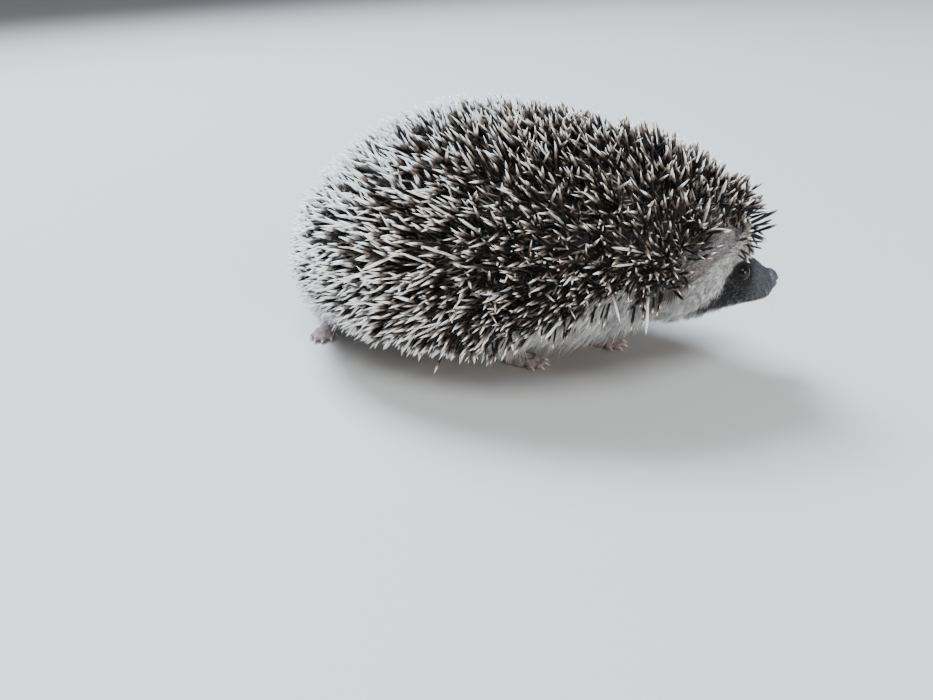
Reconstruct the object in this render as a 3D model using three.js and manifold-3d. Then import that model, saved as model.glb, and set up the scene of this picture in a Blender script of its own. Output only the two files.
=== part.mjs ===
// A life-size African pygmy hedgehog, mid-step, its head turned a little to its left and its brow drawn down.
// Millimetres. +X runs from tail to head, +Y to the animal's left, +Z up, with the soles on z = 0.
// The solids reach out to the tips of the quills and of the fur, and are parted where the body's parts meet.
import * as THREE from "three";
import { mergeVertices } from "three/addons/utils/BufferGeometryUtils.js";
import Module from "manifold-3d";

const wasm = await Module();
wasm.setup();

// ---- Driving dimensions -------------------------------------------------------------------------------
const GAP = 0.3; // clearance between neighbouring solids
const SIMPLER = 0.16; // how far a face may move when slivers are merged
const MANTLE = {
  rear: -91, front: 91, // ends of the quilled coat along X
  halfWidth: 55, midHeight: 33, rise: 63, drop: 27, // half-width, its height, and the reach above and below
  widestAt: -12, // X of the broadest section
  noseLift: 21, swing: 5, // how far the front end rises, and swings to the left with the head
};
// The lower edge of the quilled coat.
const SKIRT = { low: 19, startX: -12, slope: 0.42, rearSlope: 0.09, rearX: -40, turn: 12 };
const MANTLE_CUTS = [-42, 14, 56]; // X of the joints: rump, back, shoulders, crown
const TORSO_CUTS = [-46, 2, 46]; // X of the joints: haunch, belly, chest, neck
const HEAD = { nose: [93.4, 13, 32.5], yaw: 26 }; // nose tip, and the turn of the head to the left in degrees
const BROW = { back: 20.5, up: 13.6, reach: [11.3, 9.8, 8.6] }; // the forehead, bulging over the snout
const EYE = { back: 17.3, side: 8.7, up: 7.8, radius: 2.9 };
const EAR = { back: 31, side: 16.2, up: 15, height: 12.5, width: 11, thick: 1.6 };
const CLAW = { length: 3.2, radius: 0.75, lift: 0.45 };

// ---- Solids from three.js geometry --------------------------------------------------------------------
// A closed geometry as a manifold-3d solid, turned right side out.
function solid(geometry) {
  const bare = new THREE.BufferGeometry();
  bare.setAttribute("position", geometry.getAttribute("position"));
  bare.setIndex(geometry.getIndex());
  const merged = mergeVertices(bare, 1e-4);
  const triVerts = new Uint32Array(merged.index.array);
  const vertProperties = new Float32Array(merged.attributes.position.array);
  const make = () => new wasm.Manifold(new wasm.Mesh({ numProp: 3, vertProperties, triVerts }));
  const made = make();
  if (made.volume() > 0) return made;
  for (let i = 0; i < triVerts.length; i += 3) {
    [triVerts[i + 1], triVerts[i + 2]] = [triVerts[i + 2], triVerts[i + 1]];
  }
  return make();
}

// A skin over rings of equal point count, closed by a fan at each end.
function loft(rings) {
  const count = rings[0].length;
  const centre = (ring) => ring.reduce((sum, p) => sum.add(p), new THREE.Vector3()).divideScalar(count);
  const points = [...rings.flat(), centre(rings[0]), centre(rings.at(-1))];
  const [first, last] = [points.length - 2, points.length - 1];
  const index = [];
  for (let r = 0; r + 1 < rings.length; r++) {
    for (let i = 0; i < count; i++) {
      const [a, b] = [r * count + i, r * count + ((i + 1) % count)];
      index.push(a, b, b + count, a, b + count, a + count);
    }
  }
  const top = (rings.length - 1) * count;
  for (let i = 0; i < count; i++) {
    index.push(first, (i + 1) % count, i, last, top + i, top + ((i + 1) % count));
  }
  return new THREE.BufferGeometry().setFromPoints(points).setIndex(index);
}

const power = (value, exponent) => Math.sign(value) * Math.abs(value) ** exponent;
const mix = (a, b, t) => a + (b - a) * t;

// One upright ring: half-width across, separate reach up and down, and a boxiness of 1 (ellipse) or more.
function ring({ x, y = 0, z, wide, up, down, box = 1, count }) {
  return Array.from({ length: count }, (_, i) => {
    const angle = (i / count) * 2 * Math.PI;
    const [c, s] = [power(Math.cos(angle), 1 / box), power(Math.sin(angle), 1 / box)];
    return new THREE.Vector3(x, y + wide * c, z + (s > 0 ? up : down) * s);
  });
}

// Values read between stations, each [place, ...values] with its place rising, and eased at the stations.
function along(stations, at) {
  const last = stations.length - 2;
  const k = Math.min(Math.max(stations.findIndex((station) => station[0] > at) - 1, 0), last);
  const first = at >= stations[last][0] ? last : k;
  const [before, after] = [stations[first], stations[first + 1]];
  const t = THREE.MathUtils.clamp((at - before[0]) / (after[0] - before[0]), 0, 1);
  const ease = (t + t * t * (3 - 2 * t)) / 2;
  return before.slice(1).map((value, j) => mix(value, after[j + 1], ease));
}

// A tapered limb or toe through points with a radius at each, closed at both ends by a small rounded cap.
function limb(points, radii, grow = 0, sides = 10, steps = 8) {
  const curve = new THREE.CatmullRomCurve3(points.map((p) => new THREE.Vector3(...p)));
  const frames = curve.computeFrenetFrames(steps, false);
  const rings = [];
  const circle = (at, radius, shift) => {
    const centre = curve.getPointAt(at / steps).addScaledVector(frames.tangents[at], shift);
    return Array.from({ length: sides }, (_, i) => {
      const angle = (i / sides) * 2 * Math.PI;
      return centre
        .clone()
        .addScaledVector(frames.normals[at], radius * Math.cos(angle))
        .addScaledVector(frames.binormals[at], radius * Math.sin(angle));
    });
  };
  const radiusAt = (at) => {
    const place = (at / steps) * (radii.length - 1);
    const k = Math.min(Math.floor(place), radii.length - 2);
    return mix(radii[k], radii[k + 1], place - k) + grow;
  };
  const [start, end] = [radiusAt(0), radiusAt(steps)];
  rings.push(circle(0, start * 0.6, -start * 0.6));
  for (let at = 0; at <= steps; at++) rings.push(circle(at, radiusAt(at), 0));
  rings.push(circle(steps, end * 0.6, end * 0.6));
  return solid(loft(rings));
}

function ellipsoid([x, y, z], [rx, ry, rz], grow = 0, sides = 16) {
  const ball = new THREE.SphereGeometry(1, sides, Math.round(sides * 0.7));
  ball.scale(rx + grow, ry + grow, rz + grow).translate(x, y, z);
  return solid(ball);
}

function block(x0, x1, y0, y1, z0, z1) {
  const box = new THREE.BoxGeometry(x1 - x0, y1 - y0, z1 - z0);
  return solid(box.translate((x0 + x1) / 2, (y0 + y1) / 2, (z0 + z1) / 2));
}
const WALL = 200; // well past the body on every side
const aboveFloor = block(-WALL, WALL, -WALL, WALL, 0, WALL);

// A manifold-3d solid moved by a matrix.
const moved = (shape, matrix) => shape.transform(matrix.elements);
const matrixOf = (position, yawDegrees, pitchDegrees = 0) =>
  new THREE.Matrix4()
    .makeRotationFromEuler(
      new THREE.Euler(0, THREE.MathUtils.degToRad(pitchDegrees), THREE.MathUtils.degToRad(yawDegrees), "ZYX"),
    )
    .setPosition(...position);

// ---- The quilled coat ---------------------------------------------------------------------------------
// Blunt in front, where the brow is drawn down, and more pointed behind: how fast each end closes in.
const AHEAD = { reach: MANTLE.front - MANTLE.widestAt, top: [1.7, 0.38], side: [2.1, 0.58] };
const BEHIND = { reach: MANTLE.widestAt - MANTLE.rear, top: [1.9, 0.6], side: [2.1, 0.5] };
const END_ANGLE = 0.07; // keeps the first and last rings open
function mantle(grow) {
  const [count, steps] = [28, 18];
  const { halfWidth, midHeight, rise, drop, widestAt, noseLift, swing } = MANTLE;
  const rings = Array.from({ length: steps + 1 }, (_, i) => {
    const travel = -Math.cos(mix(END_ANGLE, Math.PI - END_ANGLE, i / steps));
    const end = travel > 0 ? AHEAD : BEHIND;
    const t = Math.abs(travel);
    const forward = Math.max(travel, 0) ** 3;
    const closing = ([inner, outer]) => (1 - t ** inner) ** outer;
    const lift = noseLift * forward;
    return ring({
      x: widestAt + travel * end.reach,
      y: swing * forward,
      z: midHeight + lift,
      wide: halfWidth * closing(end.side) + grow,
      up: Math.max(rise * closing(end.top) - lift, 2) + grow,
      down: drop * closing(end.top) + grow,
      box: 1.12,
      count,
    });
  });
  return solid(loft(rings));
}

// The height of the coat's lower edge: low along the flank, and rising to the brow.
const skirtHeight = (x) =>
  SKIRT.low + SKIRT.slope * Math.max(0, x - SKIRT.startX) + SKIRT.rearSlope * Math.max(0, SKIRT.rearX - x);

// Everything above (or below) the lower edge, as a wall-to-wall prism.
function sideOfSkirt(above, shift) {
  const edge = [-WALL, SKIRT.rearX, SKIRT.startX, WALL].map((x) => [x, skirtHeight(x) + shift]);
  const end = above ? WALL : -WALL;
  const corners = [...edge, [WALL, end], [-WALL, end]];
  const outline = new THREE.Shape(corners.map(([x, z]) => new THREE.Vector2(x, z)));
  const prism = new THREE.ExtrudeGeometry(outline, { depth: 2 * WALL, bevelEnabled: false, steps: 1 });
  prism.rotateX(Math.PI / 2).translate(0, WALL, 0);
  return solid(prism.rotateZ(THREE.MathUtils.degToRad(SKIRT.turn)));
}

// ---- The furred body under the coat -------------------------------------------------------------------
// Each station: X, the centre's Y and Z, half-width, reach up, reach down.
const TORSO = [
  [-82, 0, 30, 14, 12, 8],
  [-70, 0, 30, 32, 20, 17],
  [-45, 0, 31, 43, 26, 21],
  [-10, 0, 31, 45, 26, 20],
  [20, 0, 33, 42, 26, 18],
  [42, 0, 36, 34, 26, 19],
  [56, -0.5, 38, 26, 20, 15],
  [68, -1, 40, 19, 14, 12],
];
function torso(grow) {
  const [count, steps] = [20, 13];
  const rings = Array.from({ length: steps + 1 }, (_, i) => {
    const x = mix(TORSO[0][0], TORSO.at(-1)[0], i / steps);
    const [y, z, wide, up, down] = along(TORSO, x);
    return ring({ x, y, z, count, box: 1.1, wide: wide + grow, up: up + grow, down: down + grow });
  });
  return solid(loft(rings));
}

// ---- Head, in its own frame: +X out through the nose tip, the origin there ----------------------------
const HEAD_PLACE = matrixOf(HEAD.nose, HEAD.yaw);
// Each station: distance behind the nose tip, half-width, top, bottom.
const FACE = [
  [2.6, 3.6, 4.7, -5.0],
  [5.5, 4.7, 5.8, -5.6],
  [9, 6.4, 9.6, -5.9],
  [12.5, 8.4, 14.8, -6.0],
  [17.5, 10.7, 17.6, -6.3],
  [24, 14.4, 21.0, -7.0],
  [31, 17.4, 23.0, -8.2],
  [37, 18.0, 22.0, -8.6],
];
function face(from, to, grow) {
  const [count, steps] = [18, Math.max(3, Math.round((to - from) / 3.2))];
  const rings = Array.from({ length: steps + 1 }, (_, i) => {
    const back = mix(from, to, i / steps);
    const [wide, top, bottom] = along(FACE, back);
    const z = mix(bottom, top, 0.42);
    return ring({ x: -back, z, count, wide: wide + grow, up: top - z + grow, down: z - bottom + grow });
  });
  return moved(solid(loft(rings)), HEAD_PLACE);
}
const brow = (grow) => moved(ellipsoid([-BROW.back, 0, BROW.up], BROW.reach, grow, 11), HEAD_PLACE);
const MUZZLE_END = 12.5; // where the muzzle gives way to the cheeks
const MOUTH = { height: -1.6, back: 15 }; // the line of the lips

// The lower jaw is what lies under the line of the lips.
const jawSpace = moved(block(-MOUTH.back, 2, -12, 12, -14, MOUTH.height), HEAD_PLACE);

function nose(grow) {
  const pad = ellipsoid([-1.9, 0, 1.0], [2.9, 3.6, 3.7], grow, 11);
  const nostrils = [-1, 1].map((side) => ellipsoid([0.2, side * 1.7, 0.2], [1.1, 0.75, 0.85], 0, 6));
  const whole = grow ? pad : nostrils.reduce((sum, n) => sum.subtract(n), pad);
  return moved(whole, HEAD_PLACE);
}

const eye = (side) => (grow) => {
  const { back, side: out, up, radius } = EYE;
  return moved(ellipsoid([-back, side * out, up], [radius, radius, radius], grow, 12), HEAD_PLACE);
};

// A rounded flap laid forward along the side of the head, hollowed on its outer face.
const ear = (side) => (grow) => {
  const { back, side: out, up, height, width, thick } = EAR;
  const place = new THREE.Matrix4()
    .makeRotationFromEuler(new THREE.Euler(side * -0.32, 0.62, side * 0.16, "ZYX"))
    .setPosition(-back, side * out, up);
  const flap = ellipsoid([0, 0, height * 0.5], [width / 2, thick, height * 0.56], grow, 12);
  const bowl = [width * 0.34, thick, height * 0.38];
  const hollow = ellipsoid([0.3, side * thick * 1.25, height * 0.54], bowl, 0, 8);
  return moved(moved(grow ? flap : flap.subtract(hollow), place), HEAD_PLACE);
};

// ---- Legs and feet ------------------------------------------------------------------------------------
// Feet are modelled with the toes along +X and the sole on z = 0, then set down at a place and a yaw.
// Toes: the angle of each in degrees, and how far each reaches.
const FORE = {
  toes: [-42, -20, 0, 20, 42], reach: [4.6, 7.4, 8.2, 7.4, 5.0],
  palm: [4.6, 4.6, 3.2], toeRadius: 1.45, heel: 4,
};
const HIND = {
  toes: [-26, -8, 9, 28], reach: [8.2, 10, 10, 8.4],
  palm: [7.2, 4.2, 3.1], toeRadius: 1.5, heel: 9,
};
// Each leg runs from the foot up into the body, through three points with a radius at each.
const FEET = [
  {
    name: "right_fore", kind: FORE, at: [7.6, -13.4], yaw: 2,
    leg: [[2, -14.6, 6], [0, -17.5, 15], [4, -22, 30]], radii: [4.6, 6, 8.5],
  },
  {
    name: "left_fore", kind: FORE, at: [33.5, 10], yaw: -4,
    leg: [[28, 10.6, 6], [26, 13.5, 15], [27, 20, 31]], radii: [4.6, 6, 8.5],
  },
  {
    name: "right_hind", kind: HIND, at: [-81, -8], yaw: -82,
    leg: [[-80, -3, 7], [-75, -7, 14], [-64, -18, 27]], radii: [4.4, 6, 9],
  },
  {
    name: "left_hind", kind: HIND, at: [-38, 24], yaw: 14,
    leg: [[-45, 22.4, 7], [-51, 22, 15], [-50, 23, 28]], radii: [4.4, 6.5, 10],
  },
];

// The points of one toe: out of the palm, over the knuckle and down to the tip.
function toeLine(kind, k) {
  const angle = THREE.MathUtils.degToRad(kind.toes[k]);
  const [dx, dy] = [Math.cos(angle), Math.sin(angle)];
  const root = kind.palm[0] * 0.35;
  const at = (distance, z) => [root + dx * distance, dy * (distance + kind.palm[1] * 0.35), z];
  return { at, reach: kind.reach[k] };
}
function toe(kind, k, grow) {
  const { at, reach } = toeLine(kind, k);
  const r = kind.toeRadius;
  return limb([at(0, 2.4), at(reach * 0.5, 2.5), at(reach * 0.84, 1.3)], [r * 1.05, r, r * 0.86], grow, 5, 2);
}
function claw(kind, k, grow) {
  const { at, reach } = toeLine(kind, k);
  const tip = reach * 0.8 + CLAW.length;
  return limb(
    [at(reach * 0.84, 1.75), at(mix(reach * 0.84, tip, 0.55), 1.5), at(tip, CLAW.lift + 0.1)],
    [CLAW.radius, CLAW.radius * 0.72, 0.16], grow, 5, 2,
  );
}
function foot(kind, grow) {
  const [long, wide, high] = kind.palm;
  let whole = ellipsoid([0, 0, high * 0.62], [long, wide, high], grow, 8);
  whole = whole.add(ellipsoid([-kind.heel, 0, high * 0.66], [long * 0.72, wide * 0.8, high * 0.95], grow, 7));
  for (let k = 0; k < kind.toes.length; k++) whole = whole.add(toe(kind, k, grow));
  return grow ? whole : whole.intersect(aboveFloor);
}

const tail = (grow) => limb([[-74, 0, 19], [-82, 0.6, 15.5], [-90, 1.4, 11.5]], [3.6, 2.6, 1.3], grow, 10, 6);

// ---- Joining it all, first come first kept ------------------------------------------------------------
const COLOURS = {
  quill: { color: 0x6f6660, roughness: 0.7 },
  fur: { color: 0xcfc8be, roughness: 0.9 },
  face: { color: 0xb9b6b3, roughness: 0.9 },
  mask: { color: 0x3a3a40, roughness: 0.85 },
  nose: { color: 0x2b2e35, roughness: 0.45 },
  eye: { color: 0x070608, roughness: 0.08 },
  skin: { color: 0x9a8580, roughness: 0.7 },
  claw: { color: 0xcdb9a2, roughness: 0.4 },
};
const finish = (look) => new THREE.MeshStandardMaterial({ metalness: 0, ...look });
const materials = Object.fromEntries(Object.entries(COLOURS).map(([name, look]) => [name, finish(look)]));
const animal = new THREE.Group();
const kept = [];

// Adds one node: its shape less everything added before it, with the gap between them.
function add(name, material, shape, within = null) {
  let body = within ? shape(0).intersect(within) : shape(0);
  for (const earlier of kept) body = body.subtract(earlier);
  const [largest] = body.decompose().sort((a, b) => b.volume() - a.volume());
  const { vertProperties, triVerts } = largest.simplify(SIMPLER).getMesh();
  const geometry = new THREE.BufferGeometry()
    .setAttribute("position", new THREE.BufferAttribute(vertProperties, 3))
    .setIndex(new THREE.BufferAttribute(triVerts, 1));
  geometry.computeVertexNormals();
  const mesh = new THREE.Mesh(geometry, materials[material]);
  mesh.name = name;
  animal.add(mesh);
  kept.push(within ? shape(GAP).intersect(within) : shape(GAP));
}

// Slabs between the joints of a lengthwise part.
const slab = (x0, x1) => block(x0 + GAP / 2, x1 - GAP / 2, -WALL, WALL, -WALL, WALL);

for (const { name, kind, at, yaw } of FEET) {
  const place = matrixOf([...at, 0], yaw);
  for (let k = 0; k < kind.toes.length; k++) {
    add(`${name}_claw_${k + 1}`, "claw", (grow) => moved(claw(kind, k, grow), place));
  }
}
for (const { name, kind, at, yaw } of FEET) {
  add(`${name}_foot`, "skin", (grow) => moved(foot(kind, grow), matrixOf([...at, 0], yaw)));
}
for (const [name, side] of [["right", -1], ["left", 1]]) add(`${name}_eye`, "eye", eye(side));
add("nose", "nose", nose);
for (const [name, side] of [["right", -1], ["left", 1]]) add(`${name}_ear`, "face", ear(side));
add("lower_jaw", "mask", (grow) => face(3.2, MOUTH.back, grow), jawSpace);
add("muzzle", "mask", (grow) => face(2.6, MUZZLE_END, grow));
add("head", "face", (grow) => face(MUZZLE_END - 1, 37, grow).add(brow(grow)));
for (const { name, leg, radii } of FEET) add(`${name}_leg`, "fur", (grow) => limb(leg, radii, grow, 10, 5));
add("tail", "skin", tail);

const mantleEnds = [-WALL, ...MANTLE_CUTS, WALL];
["rump_quills", "back_quills", "shoulder_quills", "crown_quills"].forEach((name, k) => {
  const space = sideOfSkirt(true, GAP / 2).intersect(slab(mantleEnds[k], mantleEnds[k + 1]));
  add(name, "quill", mantle, space);
});
const torsoEnds = [-WALL, ...TORSO_CUTS, WALL];
["haunch", "belly", "chest", "neck"].forEach((name, k) => {
  const space = sideOfSkirt(false, -GAP / 2).intersect(slab(torsoEnds[k], torsoEnds[k + 1]));
  add(name, "fur", torso, space);
});

// The origin is the middle of the body's box, on the floor.
const box = new THREE.Box3().setFromObject(animal, true);
const middle = box.getCenter(new THREE.Vector3());
animal.position.set(-middle.x, -middle.y, -box.min.z);

export default animal;
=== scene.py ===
"""A life-size African pygmy hedgehog: one skin, a coat of banded quills, and fur on the face and belly."""

import math

import bpy
import numpy as np
from mathutils import Euler, Matrix, Vector
from mathutils.bvhtree import BVHTree
from mathutils.kdtree import KDTree


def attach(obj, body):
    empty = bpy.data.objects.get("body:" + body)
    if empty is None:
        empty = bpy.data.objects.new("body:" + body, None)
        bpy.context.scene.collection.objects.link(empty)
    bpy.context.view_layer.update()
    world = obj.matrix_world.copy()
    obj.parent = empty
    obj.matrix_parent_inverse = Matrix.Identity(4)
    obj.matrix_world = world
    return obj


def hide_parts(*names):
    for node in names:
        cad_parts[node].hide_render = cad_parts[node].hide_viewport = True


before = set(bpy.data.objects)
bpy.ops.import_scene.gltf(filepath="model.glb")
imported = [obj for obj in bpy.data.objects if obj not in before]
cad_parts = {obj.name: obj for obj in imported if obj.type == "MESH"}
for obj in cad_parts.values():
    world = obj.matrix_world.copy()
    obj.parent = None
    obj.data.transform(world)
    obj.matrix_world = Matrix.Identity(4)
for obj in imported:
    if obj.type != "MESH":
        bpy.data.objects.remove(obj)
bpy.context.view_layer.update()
MM = 0.001

# ---- Names of the solids ----
FEET_NAMES = ("right_fore", "left_fore", "right_hind", "left_hind")
QUILLED = ["rump_quills", "back_quills", "shoulder_quills", "crown_quills"]
TORSO = ["haunch", "belly", "chest", "neck"]
HEAD_NODES = ["head", "muzzle", "lower_jaw", "right_ear", "left_ear"]
LIMBS = [f"{foot}_{part}" for foot in FEET_NAMES for part in ("foot", "leg")]
FLESH = QUILLED + TORSO + HEAD_NODES + LIMBS + ["tail"]

# ---- Driving sizes, in millimetres ----
SKIN_CELL = 0.5  # size of the skin's first mesh
SKIN_KEPT = 0.42  # share of its triangles kept once it is sculpted
QUILL_LENGTH = (12.5, 20.0)
QUILL_RADIUS = 0.6
QUILL_SPACING = (1.6, 1.5)  # over the shoulders, and over the rump
COAT = {
    "widest_at": -13.8, "ahead": 103.0, "behind": 79.0, "half_width": 55.0,
    "spine": 33.0, "rise": 63.0, "nose_lift": 21.0, "swing": 5.0,
}
SKIN_SHARE = {"side": 0.785, "top": 0.79, "ends": 0.9}  # how far out the skin lies under the quills
# Height of the skin under the belly, along X.
BELLY = [
    (-84, 26), (-72, 17), (-47, 13), (-12, 14), (18, 18.5), (40, 20.5), (54, 26), (66, 31), (80, 40),
]
HEAD_TURN = math.radians(26)  # to the animal's left
NOSE_TIP = np.array([91.6, 13.0, 32.5])
AHEAD = np.array([math.cos(HEAD_TURN), math.sin(HEAD_TURN), 0.0])
LEFTWARD = np.array([-math.sin(HEAD_TURN), math.cos(HEAD_TURN), 0.0])
UPWARD = np.array([0.0, 0.0, 1.0])
EYE = {"back": 16.2, "side": 7.1, "up": 7.6, "radius": 3.2, "opening": 2.7}
EAR = {"back": 27.0, "side": 10.0, "up": 15.5, "long": 9.0, "wide": 7.0, "thick": 0.8, "out": 5.8}
# The head's skin: distance behind the nose tip, half-width, top and bottom.
FACE = [
    (0.5, 2.9, 3.2, -4.9),
    (2.0, 3.9, 4.5, -5.9),
    (4.5, 4.8, 6.0, -6.5),
    (9.0, 6.3, 9.8, -6.8),
    (12.5, 7.9, 13.6, -6.8),
    (17.5, 10.0, 16.4, -6.8),
    (24.0, 13.2, 19.0, -7.0),
    (31.0, 15.6, 20.5, -7.4),
    (38.0, 16.0, 20.0, -7.2),
    (44.0, 13.0, 15.0, -4.6),
]
BROW = {"back": 20.6, "up": 12.8, "reach": (10.6, 9.6, 8.4)}
HOOD = {"back": 26.5, "up": 21.0, "reach": (12.5, 15.0, 11.5)}  # the muscle that carries the crown's quills


# ---- Working helpers ----
def only(thing):
    """Selects one object alone, and makes it the active one."""
    bpy.ops.object.select_all(action="DESELECT")
    thing.select_set(True)
    bpy.context.view_layer.objects.active = thing
    return thing


def ball(centre, reach, turn=(0.0, 0.0, 0.0), segments=32, rings=24):
    """A sphere squeezed to three half-sizes and turned, in millimetres, with its place in its mesh."""
    bpy.ops.object.select_all(action="DESELECT")
    bpy.ops.mesh.primitive_uv_sphere_add(segments=segments, ring_count=rings, radius=1)
    thing = bpy.context.object
    thing.scale = Vector(reach) * MM
    thing.rotation_euler = Euler(turn)
    thing.location = Vector(centre) * MM
    bpy.ops.object.transform_apply(location=True, rotation=True, scale=True)
    return thing


def smooth(thing):
    only(thing)
    bpy.ops.object.shade_smooth()


def long_ball(segments, rings):
    """A ball of radius 1 with its poles along X, and its points, which are then shaped."""
    thing = ball((0, 0, 0), (1 / MM,) * 3, (0, math.pi / 2, 0), segments, rings)
    return thing, coordinates(thing) * MM


def limb(points, radii):
    """A round limb through points with a radius at each, in millimetres, closed by a ball at each end."""
    curve = bpy.data.curves.new("limb", "CURVE")
    curve.dimensions = "3D"
    curve.bevel_depth = 1.0
    curve.bevel_resolution = 4
    curve.resolution_u = 6
    curve.use_fill_caps = True
    spline = curve.splines.new("NURBS")
    spline.points.add(len(points) - 1)
    for point, place, radius in zip(spline.points, points, radii):
        point.co = (*(Vector(place) * MM), 1.0)
        point.radius = radius * MM
    spline.use_endpoint_u = True
    spline.order_u = 3
    thing = bpy.data.objects.new("limb", curve)
    bpy.context.scene.collection.objects.link(thing)
    only(thing)
    bpy.ops.object.convert(target="MESH")
    ends = [ball(points[k], [radii[k]] * 3, segments=16, rings=12) for k in (0, -1)]
    return [thing, *ends]


def finish_with(thing, kind, **settings):
    """Adds one modifier and applies it."""
    only(thing)
    modifier = thing.modifiers.new(kind.lower(), kind)
    for key, value in settings.items():
        setattr(modifier, key, value)
    bpy.ops.object.modifier_apply(modifier=modifier.name)
    return thing


def joined(name, things):
    """Joins objects into one, which keeps the name."""
    bpy.ops.object.select_all(action="DESELECT")
    for thing in things:
        thing.select_set(True)
    bpy.context.view_layer.objects.active = things[0]
    bpy.ops.object.join()
    things[0].name = things[0].data.name = name
    return things[0]


def coordinates(thing):
    """The vertices of a mesh, in millimetres."""
    values = np.empty(len(thing.data.vertices) * 3, np.float32)
    thing.data.vertices.foreach_get("co", values)
    return values.reshape(-1, 3).astype(float) / MM


def set_coordinates(thing, places):
    thing.data.vertices.foreach_set("co", (places * MM).astype(np.float32).ravel())
    thing.data.update()


def normals(thing):
    values = np.empty(len(thing.data.vertices) * 3, np.float32)
    thing.data.vertices.foreach_get("normal", values)
    return values.reshape(-1, 3).astype(float)


def unit(vectors):
    return vectors / np.maximum(np.linalg.norm(vectors, axis=-1, keepdims=True), 1e-9)


def ramp(start, end, values):
    """0 before start, 1 after end, and eased between them."""
    t = np.clip((values - start) / (end - start), 0.0, 1.0)
    return t * t * (3 - 2 * t)


def head_coordinates(places):
    """Distance behind the nose tip, to the animal's left, and above, in millimetres."""
    away = places - NOSE_TIP
    return -(away @ AHEAD), away @ LEFTWARD, away @ UPWARD


def on_head(back, side, up):
    return NOSE_TIP - AHEAD * back + LEFTWARD * side + UPWARD * up


# ---- Camera, floor and light ----
VIEWPOINT = Vector((76.4, -238.4, 137.5)) * MM
LOOK = Vector((-0.3347, 0.808, -0.4848))
LEVEL = Vector((0.9335, 0.3546, -0.0534))
LENS = 27.01
SENSOR = 36
FLOOR_LOOK = {"Base Color": (0.50, 0.485, 0.465), "Roughness": 0.7}
SKY = {"Color": (0.86, 0.9, 1.0), "Strength": 0.3}
# Each soft light: its place and width in metres, its power in watts, and its colour. All face the animal.
LIGHTS = {
    "window": ((-1.275, 0.765, 2.295), 1.02, 220.0, (0.74, 0.87, 1.0)),
    "overhead": ((0.595, -1.275, 2.38), 1.19, 84.0, (0.88, 0.945, 1.0)),
    "front": ((2.21, -1.19, 0.765), 1.02, 40.0, (1.0, 0.96, 0.9)),
}


def add_camera():
    data = bpy.data.cameras.new("camera")
    data.sensor_width, data.lens, data.clip_start = SENSOR, LENS, 0.01
    camera = bpy.data.objects.new("camera", data)
    turn = Matrix((LEVEL, LEVEL.cross(LOOK), -LOOK)).transposed().to_4x4()
    camera.matrix_world = Matrix.Translation(VIEWPOINT) @ turn
    bpy.context.scene.collection.objects.link(camera)
    bpy.context.scene.camera = camera


def soft_light(name, place, size, power, colour):
    data = bpy.data.lights.new(name, "AREA")
    data.energy, data.size, data.color = power, size, colour
    light = bpy.data.objects.new(name, data)
    light.location = place
    light.rotation_euler = (-Vector(place)).to_track_quat("-Z", "Y").to_euler()
    bpy.context.scene.collection.objects.link(light)


def add_studio():
    bpy.ops.object.select_all(action="DESELECT")
    bpy.ops.mesh.primitive_plane_add(size=40)
    floor = bpy.context.object
    floor.name = "floor"
    pale, tree, shader = material("pale_floor")
    wire(tree, shader, FLOOR_LOOK)
    floor.data.materials.append(pale)
    world = bpy.data.worlds.new("studio")
    world.use_nodes = True
    wire(world.node_tree, world.node_tree.nodes["Background"], SKY)
    bpy.context.scene.world = world
    for name, (place, size, power, colour) in LIGHTS.items():
        soft_light(name, place, size, power, colour)


# ---- The skin: trunk, head, ears, legs and tail as one surface ----
def coat_section(travel):
    """The quilled coat's outer section, where travel runs from -1 at the rump to 1 at the brow."""
    ahead, t = travel > 0, np.abs(travel)
    height = (1 - t ** np.where(ahead, 1.7, 1.9)) ** np.where(ahead, 0.38, 0.6)
    width = (1 - t**2.1) ** np.where(ahead, 0.58, 0.5)
    forward = np.maximum(travel, 0) ** 3
    x = COAT["widest_at"] + travel * np.where(ahead, COAT["ahead"], COAT["behind"])
    spine = COAT["spine"] + COAT["nose_lift"] * forward
    top = spine + np.maximum(COAT["rise"] * height - COAT["nose_lift"] * forward, 2)
    return x, COAT["swing"] * forward, spine, COAT["half_width"] * width, top


def make_trunk():
    """A long ball, its rings fitted to the coat's sections and drawn in by the depth of the quills."""
    thing, places = long_ball(72, 64)
    travel = np.clip(places[:, 0], -0.9999, 0.9999)
    x, middle, spine, wide, top = coat_section(travel)
    closing = np.sqrt(1 - travel**2)
    across, upright = places[:, 1] / closing, places[:, 2] / closing
    x = COAT["widest_at"] + (x - COAT["widest_at"]) * SKIN_SHARE["ends"]
    belly = np.interp(x, *zip(*BELLY))
    lower = (spine - belly) * np.minimum(1, closing * 1.6)
    height = np.where(upright > 0, (top - spine) * SKIN_SHARE["top"], lower) * upright
    set_coordinates(thing, np.stack([x, middle + wide * SKIN_SHARE["side"] * across, spine + height], 1))
    return thing


def make_head():
    """A long ball along the head's axis, its rings fitted to the face's stations."""
    thing, places = long_ball(64, 56)
    table = np.array(FACE)
    low, high = table[0, 0], table[-1, 0]
    back = low + (high - low) * (1 - places[:, 0]) / 2
    wide, top, bottom = (np.interp(back, table[:, 0], table[:, k]) for k in (1, 2, 3))
    closing = np.sqrt(np.clip(1 - places[:, 0] ** 2, 0, 1))
    across = places[:, 1] / np.maximum(closing, 1e-6)
    upright = places[:, 2] / np.maximum(closing, 1e-6)
    ends = np.minimum(1, closing * 3.0)
    middle = bottom + (top - bottom) * 0.42
    height = np.where(upright > 0, (top - middle) * upright, (middle - bottom) * upright)
    side, up = wide * across * ends, middle + height * ends
    made = NOSE_TIP + np.outer(-back, AHEAD) + np.outer(side, LEFTWARD) + np.outer(up, UPWARD)
    set_coordinates(thing, made)
    return thing


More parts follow.
